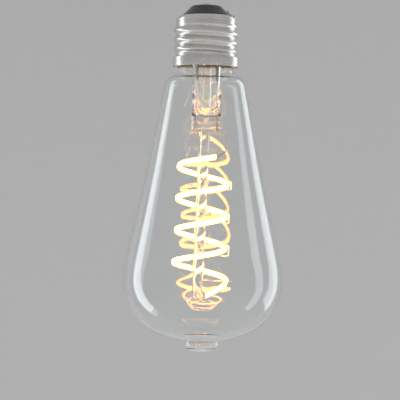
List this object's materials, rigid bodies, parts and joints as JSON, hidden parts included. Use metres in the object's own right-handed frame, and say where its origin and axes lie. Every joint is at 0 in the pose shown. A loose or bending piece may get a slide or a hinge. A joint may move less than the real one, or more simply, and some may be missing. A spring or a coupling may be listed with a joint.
{
  "type": "led bulb",
  "caption": "Clear pear-shaped LED lamp: one spiral LED filament on a glass rod, in blown glass with an Edison screw cap.",
  "frame": {"origin": "middle of the flat face of the centre contact", "axes": "+Z out of the cap along the lamp's axis, so the glass hangs towards -Z; +X is the picture's right, and -Y faces the viewer"},
  "size_m": [0.064, 0.064, 0.14],
  "materials": {
    "bulb_glass": "clear, polished",
    "stem_glass": "clear, fire polished",
    "phosphor": "silicone, lit warm white",
    "carrier": "flexible copper foil",
    "nickel": "drawn nickel wire",
    "anchor_metal": "drawn molybdenum wire",
    "seal_copper": "copper-clad, oxidised red",
    "sleeve": "woven glass sleeve",
    "cap_shell": "nickel plated, rolled",
    "cap_glass": "black fused glass",
    "contact_brass": "pressed",
    "nickel_plate": "plated, flat head",
    "cement": "baked, grainy",
    "board": "green solder mask",
    "black_plastic": "moulded",
    "can_sleeve": "shrink sleeve",
    "tinned_wire": "tinned",
    "resistor_body": "dipped lacquer",
    "chip_ceramic": "glazed top",
    "solder": "smooth, bright",
    "red_wire": "insulated wire"
  },
  "bodies": {
    "root": {"glass_envelope": "bulb_glass", "stem_flare": "stem_glass", "exhaust_tube": "stem_glass", "glass_rod": "stem_glass", "phosphor_outer": "phosphor", "phosphor_inner": "phosphor", "filament_carrier": "carrier", "upper_tab": "nickel", "lower_tab": "nickel", "upper_lead": "nickel", "return_lead": "nickel", "anchor_wires": "anchor_metal", "seal_wires": "seal_copper", "outer_leads": "nickel", "lead_sleeves": "sleeve", "screw_shell": "cap_shell", "cap_insulator": "cap_glass", "centre_contact": "contact_brass", "contact_pin": "nickel_plate", "basing_cement": "cement", "driver_board": "board", "bridge_rectifier": "black_plastic", "driver_chip": "black_plastic", "smoothing_capacitor": "can_sleeve", "capacitor_legs": "tinned_wire", "fuse_resistor": "resistor_body", "fuse_legs": "tinned_wire", "chip_resistors": "chip_ceramic", "board_solder": "solder", "centre_wire": "red_wire", "shell_wire": "tinned_wire", "side_solder": "solder"}
  },
  "joints": []
}
